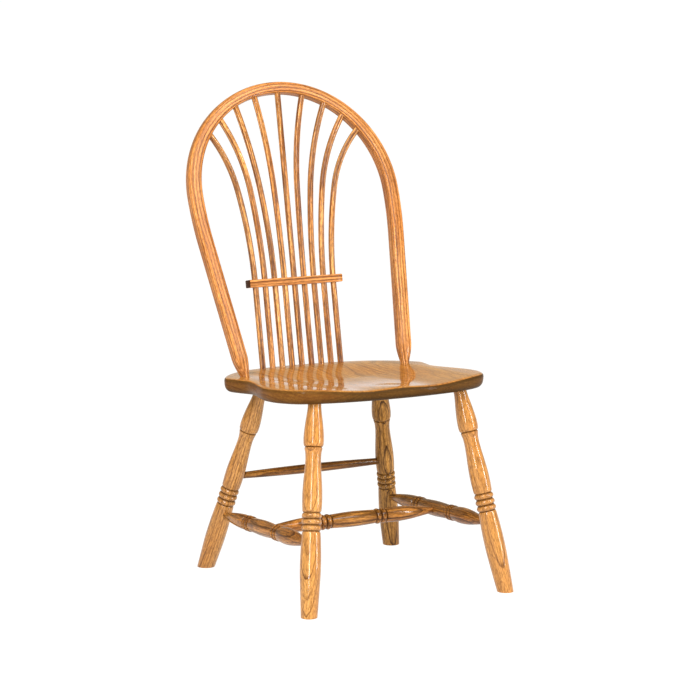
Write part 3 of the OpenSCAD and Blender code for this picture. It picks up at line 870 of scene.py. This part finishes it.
@dataclass
class Sheaf:
    """Nine spindles, the bar that gathers them and the fan above it."""

    layout: Layout
    bow: Bow
    each_side: int = 4
    diameter: float = 13.4
    fan_angle: float = 53.3
    bar_rise: float = 190.0
    bar_len: float = 233.0
    bar_h: float = 17.5
    bar_d: float = 24.0
    bar_margin: float = 1.0
    head_gap: float = 9.0
    head_in: float = 12.0
    socket: float = 16.0
    knee_height: float = 398.0
    knee_shares: tuple[float, ...] = (0.31, 0.229, 0.277, 0.18, 0.19, 0.11, 0.21, 0.232, 0.277)
    fan_swell: float = 0.16
    sides: int = 32
    middle_steps: int = 50
    foot_steps: int = 12
    knee_steps: int = 28
    fan_steps: int = 36
    head_steps: int = 3
    spindle_lean: float = 0.012
    spindle_shift: float = 900.0
    first_seed: int = 40
    pith_depths: Pair = (25, 70)
    pith_asides: Pair = (-30, 30)
    tones: Pair = (0.0, 0.12)
    bar_edge: float = 2.0
    bar_edge_steps: int = 6
    bar_ends: Pairs = ((0.0, 1.2), (0.4, 0.45), (1.2, 0.0))
    bar_inner: float = 12.0
    bar_steps: int = 24
    bar_pith: Place = (40.0, -48.0, 7000.0)

    def foot(self, k: int) -> Array:
        """Returns the point where spindle k stands on the seat's rim."""
        y = self.layout.seat_rear_y - self.layout.spindle_margin
        return np.array([k * self.layout.spindle_pitch, y, self.layout.rim_z(y)])

    def head(self, k: int) -> Array:
        """Works out where a spindle comes near the bow.

        Args:
            k: Place of the spindle, counted from the middle one.

        Returns:
            The point a little under the bow.
        """
        t = abs(k) / self.each_side
        share = (1 + self.fan_swell) * t - self.fan_swell * t * t
        angle = math.radians(math.copysign(self.fan_angle * share, k))
        reach = self.bow.radius - self.bow.top_width / 2 - self.head_gap
        return self.bow.in_plane(reach * math.sin(angle), self.bow.centre + reach * math.cos(angle))

    def rise(self) -> Array:
        """Returns the direction of the straight middle spindle."""
        return unit(self.head(0) - self.foot(0))

    def path(self, k: int) -> list[tuple[Array, Array, float]]:
        """Walks along spindle k.

        Args:
            k: Place of the spindle, counted from the middle one.

        Returns:
            Rows of point, direction and distance from the foot's tenon end.
        """
        up = self.rise()
        start = self.foot(k) - up * self.socket
        if k == 0:
            whole = distance(start, self.head(0)) + self.head_gap + self.head_in
            return [(start + up * s, up, float(s)) for s in np.linspace(0, whole, self.middle_steps)]
        bend = self.bar_rise - self.bar_h / 2 - self.bar_margin
        base = self.foot(k) + up * bend
        v = self.head(k) - base
        tall = float(v @ up)
        wide = v - tall * up
        side, wide = unit(wide), distance(wide, np.zeros(3))
        rows = [(0.0, h, 0.0) for h in np.linspace(-bend - self.socket, 0, self.foot_steps)[:-1]]
        x, z, heading = 0.0, 0.0, 0.0
        knee = (self.knee_shares[k + self.each_side] * wide, self.knee_height - bend)
        for (to_x, to_z), steps in ((knee, self.knee_steps), ((wide, tall), self.fan_steps)):
            turn, radius = arc_to(to_x - x, to_z - z, heading)
            rows += [(x + radius * (math.cos(heading) - math.cos(t)),
                      z + radius * (math.sin(t) - math.sin(heading)), t)
                     for t in np.linspace(heading, heading + turn, steps)[:-1]]
            x, z, heading = to_x, to_z, heading + turn
        for d in np.linspace(0, self.head_gap + self.head_in, self.head_steps):
            rows.append((wide + d * math.sin(heading), tall + d * math.cos(heading), heading))
        found, run, last = [], 0.0, start
        for across, high, turn in rows:
            point = base + across * side + high * up
            run += distance(last, point)
            found.append((point, math.sin(turn) * side + math.cos(turn) * up, run))
            last = point
        return found

    def build_spindle(self, k: int) -> None:
        """Makes one spindle.

        Args:
            k: Place of the spindle, counted from the middle one.
        """
        seed = np.random.default_rng(self.first_seed + k)
        px, py = seed.uniform(*self.pith_depths), seed.uniform(*self.pith_asides)
        section = self.diameter / 2 * wheel_points(self.sides)
        number = k + self.each_side + 1
        sweep = Sweep()
        for point, along, run in self.path(k):
            first = unit(np.cross(along, [1.0, 0.0, 0.0]))
            sweep.add(point, (first, np.cross(along, first)), section,
                      (px + self.spindle_lean * run, py, run + self.spindle_shift * number))
        skin = sweep.skin(seed.uniform(*self.tones))
        add_piece("spindle_%d" % number, skin, self.layout, SPINDLE_OAK, sharp=BENT_SHARP)

    def build_bar(self) -> None:
        """Makes the bar with softly rounded edges and darker ends."""
        up = self.rise()
        middle = self.foot(0) + up * self.bar_rise
        out = np.cross([1.0, 0.0, 0.0], up)
        half = np.array([self.bar_d / 2, self.bar_h / 2])
        quarter = np.linspace(0, math.pi / 2, self.bar_edge_steps)
        corners = []
        for i, corner in enumerate(((1, 1), (-1, 1), (-1, -1), (1, -1))):
            turn = quarter + i * math.pi / 2
            arc = self.bar_edge * np.column_stack([np.cos(turn), np.sin(turn)])
            corners.append(np.array(corner) * (half - self.bar_edge) + arc)
        shape = np.vstack(corners)[::-1]
        end = self.bar_len / 2
        places = [(x - end, inset) for x, inset in self.bar_ends]
        inner = end - self.bar_inner
        places += [(x, 0.0) for x in np.linspace(-inner, inner, self.bar_steps)]
        places += [(end - x, inset) for x, inset in self.bar_ends[::-1]]
        px, py, shift = self.bar_pith
        sweep = Sweep()
        for x, inset in places:
            centre = middle + np.array([x, 0, 0])
            sweep.add(centre, (out, up), shape * (1 - inset / half), (px, py, x + shift))
        # The ends are fully darkened: end grain that takes the staining, made darker still as painted shade.
        skin = sweep.skin(np.array([[inset > 0] for _, inset in places], float))
        add_piece("sheaf_bar", skin, self.layout, BACK_OAK, sharp=BENT_SHARP)

    def build(self) -> None:
        """Makes the nine spindles and the bar."""
        for k in range(-self.each_side, self.each_side + 1):
            self.build_spindle(k)
        self.build_bar()


def beads(start: float, pitch: float, low: float, high: float, count: int) -> Array:
    """Profile of a row of turned beads, each a half wave between two grooves darkened by staining and
    painted shade.

    Args:
        start: Distance at which the first bead starts.
        pitch: Length of a bead.
        low: Radius in the grooves.
        high: Radius at the crests.
        count: How many beads stand in the row.

    Returns:
        Rows of distance, radius and stain.
    """
    t = np.arange(count * BEAD_STEPS) / BEAD_STEPS
    rise = np.sin(np.pi * (t % 1)) ** BEAD_ROUNDNESS
    # Staining and painted shade, strongest in the grooves.
    stain_and_shade = BEAD_STAIN_AND_SHADE * np.clip(BEAD_STAIN_AND_SHADE_START - BEAD_STAIN_AND_SHADE_FALL * rise, 0, 1)
    rows = np.column_stack([start + pitch * t, low + (high - low) * rise, stain_and_shade])
    return np.vstack([rows, [[start + pitch * count, low, GROOVE_STAIN_AND_SHADE]]])


def plain(points: Sequence[Pair], steps: int = 6) -> Array:
    """Returns rows of distance, radius and neither staining nor painted shade on a smooth stretch of a
    turned profile.
    """
    rows = smooth_curve(points, steps)
    return np.column_stack([rows, np.zeros(len(rows))])


@dataclass(frozen=True)
class LegTimber:
    """Timber of one leg: how far its flat face is turned from the front to the left in degrees, how deep
    behind it the tree's middle lies, how much that grows with height, a lengthwise shift, and the painted
    shade: how much darker the leg is painted at its foot and under the seat."""

    turn: float
    depth: float
    lean: float
    shift: float
    foot_painted_shade: float
    top_painted_shade: float
    finish: OakFinish = LEG_OAK


# The last two numbers of each leg are painted shade: darker at the foot and under the seat, most at the rear
# legs' feet.
LEG_TIMBER = {(Row.FRONT, Side.LEFT): LegTimber(47.0, 57.3, 0.10, 0.0, 0.04, 0.04),
              (Row.FRONT, Side.RIGHT): LegTimber(10.0, 52.0, 0.030, 700.0, 0.08, 0.13),
              (Row.REAR, Side.LEFT): LegTimber(100.0, 80.0, 0.010, 1500.0, 0.16, 0.08),
              (Row.REAR, Side.RIGHT): LegTimber(12.0, 67.6, 0.0, 2300.0, 0.25, 0.0, BROWN_AND_SHADED_LEG_OAK)}


@dataclass
class Legs:
    """Four turned legs."""

    layout: Layout
    top_d: float = 28.5
    socket: float = 21.0
    rear_cut: float = 24.0
    bead_start: float = 178.2
    bead_share: float = 0.96
    groove_share: float = 0.78
    lower: Pairs = (
        (-16, 0.745), (12, 0.825), (42, 0.90), (66, 0.952), (92, 1), (120, 1), (145, 0.965),
        (169, 0.907), (176, 0.87))
    middle: Pairs = (
        (219, 0.87), (223, 0.915), (241, 0.951), (261, 0.947), (285, 0.88), (308, 0.794),
        (328, 0.748), (341, 0.775), (348, 0.835), (351.5, 0.865))
    upper: Pairs = (
        (355.5, 0.90), (359.5, 0.956), (369.5, 0.98), (382.5, 0.955), (397.5, 0.885),
        (412.5, 0.795), (426.5, 0.70), (438, 0.648))
    # The collar's groove is darkened by staining and painted shade.
    collar: tuple[float, float, float] = (353.8, 0.775, 0.85)
    top_lip: float = 3.0
    inset: float = 0.02

    def profile(self, reach: float, cut: float) -> Array:
        """Turned profile of a leg.

        Args:
            reach: Distance from the floor to the seat's underside.
            cut: Length by which the foot is cut shorter.

        Returns:
            Rows of distance from the uncut foot, radius, and staining with painted shade.
        """
        lay, high = self.layout, reach + cut
        top = self.top_d / lay.leg_d
        rows = np.vstack([
            plain(self.lower),
            beads(self.bead_start, lay.bead_pitch, self.groove_share, self.bead_share, 3),
            plain(self.middle), [self.collar], plain(self.upper),
            [[high - self.top_lip, top, 0], [high + self.socket, top, 0]]])
        rows[:, 1] *= lay.leg_d / 2 - self.inset
        return rows

    def build(self) -> None:
        """Makes the four legs, with their feet cut level."""
        lay = self.layout
        floor_cut = ((0, 0, 0), (0, 0, -1))
        for (row, side), timber in LEG_TIMBER.items():
            cut = self.rear_cut if row is Row.REAR else 0.0
            d = lay.leg_dir(row, side)
            turn = math.radians(timber.turn)
            facing = np.array([-math.sin(turn), -math.cos(turn), 0.0])
            face = np.array([axis @ facing for axis in cross_frame(d)])
            pith = (*(timber.depth * face), *(timber.lean * face), timber.shift)
            profile = self.profile(lay.leg_reach(row, side), cut)
            skin = lathe_skin(lay.leg_foot(row, side) - d * cut, d, profile, pith)
            # Painted shade: the leg is darkened from its foot up to the seat's underside by shares that
            # change with height.
            climb = np.clip(skin.points[:, 2] / lay.seat_h, 0, 1)
            skin.darken(np.interp(climb, [0, 1], [timber.foot_painted_shade, timber.top_painted_shade]))
            node = "leg_%s_%s" % (row.name.lower(), side.name.lower())
            add_piece(node, skin, lay, timber.finish, (floor_cut,))


@dataclass
class Stretchers:
    """Turned side and centre stretchers and the plain rear one."""

    layout: Layout
    side_d: float = 36.0
    mid_d: float = 34.0
    rear_d: float = 20.5
    end_d: float = 15.0
    side_front_rise: float = 152.0
    side_rear_rise: float = 128.0
    rear_rise: float = 221.0
    mid_place: float = 0.51
    groove_share: float = 0.77
    tenon_stop: float = 3.0
    body_gap: float = 2.0
    side_beads: Pair = (0.333, 0.65)
    mid_beads: Pair = (0.333, 0.651)
    rear_swell: float = 0.62
    mid_pith: tuple[float, ...] = (40.0, -18.0, 0.01, 0.0, 4400.0)
    rear_pith: tuple[float, ...] = (24.0, 12.0, 0.01, 0.0, 5200.0)
    bead_land: float = 0.004
    end_land: float = 0.01
    end_step: float = 0.02
    outer_line: Pairs = ((0.42, 0.78), (0.78, 0.94))
    outer_neck: float = 0.93
    inner_neck: float = 0.89
    shoulder: Pair = (0.07, 0.965)
    bulb_line: Pairs = ((0.72, 1.0), (0.42, 0.87))
    rear_steps: int = 10
    side_swells: tuple[float, float, float] = (0.97, 0.96, 1.0)
    mid_swells: tuple[float, float, float] = (1.0, 1.0, 0.97)
    side_piths: tuple[tuple[float, ...], ...] = ((20.0, -36.0, 0.02, 0.0, 2700.0),
                                                 (20.0, 36.0, 0.02, 0.0, 3500.0))
    # Painted shade: the right side stretcher, away from the main light, and the rear one, in the seat's
    # shade, are painted darker.
    side_painted_shades: Pair = (0.03, 0.30)
    rear_painted_shade: float = 0.35

    def turned(self, node: str, ends: tuple[Array, Array], diameter: float, reach: float,
               line: Array, pith: tuple[float, ...], tone: float = 0.0) -> None:
        """Makes a turned bar with plain tenons.

        Args:
            node: Solid that it stands for.
            ends: Start and end of its axis.
            diameter: Largest diameter.
            reach: Length of axis hidden in each holding piece.
            line: Rows of share of the length, share of the radius, and staining with painted shade.
            pith: Place of the tree's middle.
            tone: Painted shade: how much darker the whole piece is painted.
        """
        length, tenon, stop = distance(*ends), self.end_d / 2, self.tenon_stop
        profile = np.vstack([[[stop, tenon, 0], [reach, tenon, 0]],
                             line * np.array([length, diameter / 2, 1.0]),
                             [[length - reach, tenon, 0], [length - stop, tenon, 0]]])
        skin = lathe_skin(ends[0], unit(ends[1] - ends[0]), profile, pith)
        # Painted shade over the whole stretcher.
        skin.darken(tone)
        add_piece(node, skin, self.layout, STRETCHER_OAK)

    def beaded(self, length: float, diameter: float, reach: float, places: Pair,
               crest: float, body: float, bulb: float) -> Array:
        """Profile with two pairs of beads and three swellings.

        Args:
            length: Length of the axis.
            diameter: Largest diameter.
            reach: Length hidden in each holding piece.
            places: Shares of the length at which the pairs of beads stand.
            crest: Share of the radius at the beads' crests.
            body: Share of the radius at the middle swelling.
            bulb: Share of the radius at the last swelling.

        Returns:
            Rows of share of the length, share of the radius, and staining with painted shade.
        """
        e, w, low = self.end_d / diameter + self.end_step, self.layout.bead_pitch / length, self.groove_share
        p, q = places
        a, land = reach / length + self.end_land, self.bead_land
        b = 1 - a
        first, last = p - w - a, b - q - w
        outer, inner, (step, full) = self.outer_neck * body, self.inner_neck * body, self.shoulder
        return np.vstack([
            plain([(a, e), *((a + first * t, r * body) for t, r in self.outer_line), (p - w - land, outer)]),
            beads(p - w, w, low, crest, 2),
            plain([(p + w + land, inner), (p + w + step, full * body), ((p + q) / 2, body),
                   (q - w - step, full * body), (q - w - land, inner)]),
            beads(q - w, w, low, crest, 2),
            plain([(q + w + land, outer), *((b - last * t, r * bulb) for t, r in self.bulb_line), (b, e)])])

    def build(self) -> None:
        """Makes the four stretchers."""
        lay = self.layout
        reach = lay.leg_d / 2 + self.body_gap
        middle = []
        for side, pith, tone in zip(Side, self.side_piths, self.side_painted_shades):
            ends = (lay.leg_at(Row.REAR, side, self.side_rear_rise),
                    lay.leg_at(Row.FRONT, side, self.side_front_rise))
            middle.append(ends[0] + (ends[1] - ends[0]) * self.mid_place)
            line = self.beaded(distance(*ends), self.side_d, reach, self.side_beads, *self.side_swells)
            self.turned("side_stretcher_" + side.name.lower(), ends, self.side_d, reach, line, pith, tone)
        mid_reach = self.side_d / 2 + self.body_gap
        line = self.beaded(distance(*middle), self.mid_d, mid_reach, self.mid_beads, *self.mid_swells)
        self.turned("centre_stretcher", tuple(middle), self.mid_d, mid_reach, line, self.mid_pith)
        ends = tuple(lay.leg_at(Row.REAR, side, self.rear_rise) for side in Side)
        e, t = self.end_d / self.rear_d, reach / distance(*ends)
        swell = e + (1 - e) * self.rear_swell
        line = plain([(t + self.end_land, e), (0.25, swell), (0.5, 1), (0.75, swell),
                      (1 - t - self.end_land, e)], self.rear_steps)
        self.turned("rear_stretcher", ends, self.rear_d, reach, line, self.rear_pith, self.rear_painted_shade)


@dataclass(frozen=True)
class Lamp:
    """A soft rectangular lamp: its name, its place and size in metres, and its power in watts."""

    name: str
    place: Place
    size: Pair
    power: float


@dataclass
class Studio:
    """Camera at the photograph's viewing angle, soft lamps, pale floor and pale surroundings."""

    yaw: float = -28.0986
    pitch: float = 9.2649
    roll: float = 0.1281
    place: Place = (-2.776800, -5.201135, 1.456601)
    focal_px: float = 2738.573
    shift_px: Pair = (-9.149, 1.945)
    image_px: float = 700.0
    sensor_mm: float = 36.0
    floor_half: float = 70.0
    aim: Place = (0.0, 0.0, 0.45)
    paper: Colour = (0.12, 0.12, 0.12)
    paper_glow: float = 0.97
    lamps: tuple[Lamp, ...] = (
        Lamp("lamp_left_high", (-1.65, -1.50, 2.6), (1.5, 1.5), 60),
        Lamp("lamp_right_high", (0.95, -2.05, 2.5), (1.2, 1.4), 44),
        Lamp("lamp_left", (-1.93, -2.30, 1.40), (0.24, 1.7), 48),
        Lamp("lamp_right", (1.93, -2.30, 0.95), (0.24, 1.4), 44))
    surroundings: tuple[tuple[float, Colour], ...] = (
        (0.0, (1.0, 1.0, 1.0)), (0.02, (0.95, 0.92, 0.84)), (0.09, (0.66, 0.55, 0.37)),
        (1.0, (0.46, 0.41, 0.33)))

    def add_camera(self) -> None:
        """Adds the camera that the photograph's perspective gives."""
        a, e, r = (math.radians(v) for v in (self.yaw, self.pitch, self.roll))
        back = np.array([math.sin(a) * math.cos(e), -math.cos(a) * math.cos(e), math.sin(e)])
        right = np.array([math.cos(a), math.sin(a), 0.0])
        up = np.cross(back, right)
        right, up = right * math.cos(r) + up * math.sin(r), up * math.cos(r) - right * math.sin(r)
        lens = bpy.data.cameras.new("camera")
        lens.sensor_width = self.sensor_mm
        lens.lens = self.focal_px / self.image_px * self.sensor_mm
        lens.shift_x = -self.shift_px[0] / self.image_px
        lens.shift_y = self.shift_px[1] / self.image_px
        lens.clip_end = 200.0
        camera = add_object("camera", lens)
        turn = Matrix(np.column_stack([right, up, back]).tolist()).to_4x4()
        camera.matrix_world = Matrix.Translation(Vector(self.place)) @ turn
        bpy.context.scene.camera = camera

    def add_lamp(self, lamp: Lamp) -> None:
        """Adds a lamp that faces the chair.

        Args:
            lamp: The lamp.
        """
        light = bpy.data.lights.new(lamp.name, "AREA")
        light.shape = "RECTANGLE"
        light.size, light.size_y = lamp.size
        light.energy = lamp.power
        obj = add_object(lamp.name, light)
        obj.location = lamp.place
        facing = Vector(self.aim) - Vector(lamp.place)
        obj.rotation_euler = facing.to_track_quat("-Z", "Y").to_euler()

    def add_floor(self) -> None:
        """Adds the plain pale floor, which is lit evenly from within like a light table."""
        half = self.floor_half
        mesh = bpy.data.meshes.new("floor")
        mesh.from_pydata([(-half, -half, 0), (half, -half, 0), (half, half, 0), (-half, half, 0)], [],
                         [(0, 1, 2, 3)])
        mat = bpy.data.materials.new("floor_paper")
        mat.use_nodes = True
        bsdf = mat.node_tree.nodes["Principled BSDF"]
        for name, value in (("Base Color", (*self.paper, 1.0)), ("Roughness", 1.0),
                            ("Specular IOR Level", 0.0), ("Emission Color", (1.0, 1.0, 1.0, 1.0)),
                            ("Emission Strength", self.paper_glow)):
            bsdf.inputs[name].default_value = value
        mesh.materials.append(mat)
        floor = add_object("floor", mesh)

    def add_world(self) -> None:
        """Adds soft surroundings: white near the floor's edge, a calm warm grey overhead."""
        world = bpy.data.worlds.new("studio")
        bpy.context.scene.world = world
        world.use_nodes = True
        graph = NodeGraph(world.node_tree)
        place = graph.node("TexCoord", {})
        parts = graph.node("SeparateXYZ", {0: place.outputs["Generated"]})
        colour = graph.ramp(parts.outputs["Z"], self.surroundings)
        world.node_tree.links.new(colour, world.node_tree.nodes["Background"].inputs[0])

    def build(self) -> None:
        """Adds the camera, the floor, the surroundings and the lamps."""
        self.add_camera()
        self.add_floor()
        self.add_world()
        for lamp in self.lamps:
            self.add_lamp(lamp)
        view = bpy.context.scene.view_settings
        view.view_transform = "Standard"
        view.look = "None"


def main() -> None:
    """Builds the studio and the chair, one sub-assembly after the other."""
    logging.basicConfig(level=logging.INFO, format="%(message)s")
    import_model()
    layout = Layout()
    Studio().build()
    bow = Bow(layout)
    Seat(layout).build()
    bow.build()
    Sheaf(layout, bow).build()
    Legs(layout).build()
    Stretchers(layout).build()


if __name__ == "__main__":
    main()
